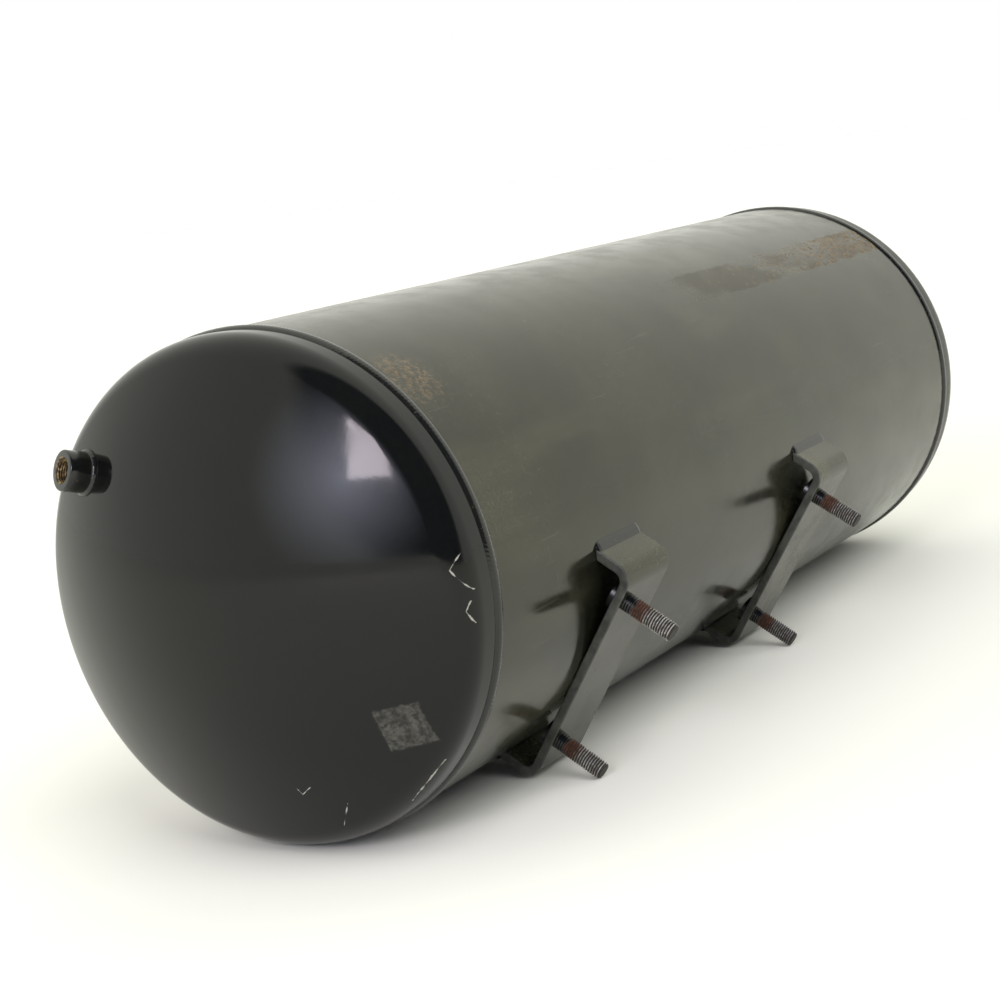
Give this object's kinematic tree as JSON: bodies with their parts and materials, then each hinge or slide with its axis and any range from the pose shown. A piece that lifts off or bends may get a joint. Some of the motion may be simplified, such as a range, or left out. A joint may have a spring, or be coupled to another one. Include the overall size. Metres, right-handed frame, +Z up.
{
  "type": "air receiver tank",
  "caption": "Cylindrical steel air receiver with dished heads, threaded ports and two welded strip brackets with studs.",
  "frame": {"origin": "centre of the bounding box's underside: the plane that the two weld beads and the tips of the lower studs rest on", "axes": "+X along the tank from the front head, with the pictured port, to the rear head; +Z up as it lies; the studs point towards -Y and down by 34.4 degrees"},
  "size_m": [0.896, 0.3542, 0.3136],
  "materials": {
    "black_paint": "gloss black paint, dusty and scratched",
    "painted_weld": "gloss black paint over a weld bead",
    "boss_paint": "gloss black paint outside, bare thread inside",
    "stud_steel": "worn thread, rusty at the base"
  },
  "bodies": {
    "root": {"shell": "black_paint", "front_head": "black_paint", "rear_head": "black_paint", "front_girth_weld": "painted_weld", "rear_girth_weld": "painted_weld", "seam_weld": "painted_weld", "front_boss": "boss_paint", "front_boss_weld": "painted_weld", "rear_boss": "boss_paint", "rear_boss_weld": "painted_weld", "drain_boss": "boss_paint", "drain_boss_weld": "painted_weld", "front_bracket": "black_paint", "front_bracket_upper_weld": "painted_weld", "front_bracket_lower_weld": "painted_weld", "rear_bracket": "black_paint", "rear_bracket_upper_weld": "painted_weld", "rear_bracket_lower_weld": "painted_weld", "front_upper_stud": "stud_steel", "front_lower_stud": "stud_steel", "rear_upper_stud": "stud_steel", "rear_lower_stud": "stud_steel"}
  },
  "joints": []
}
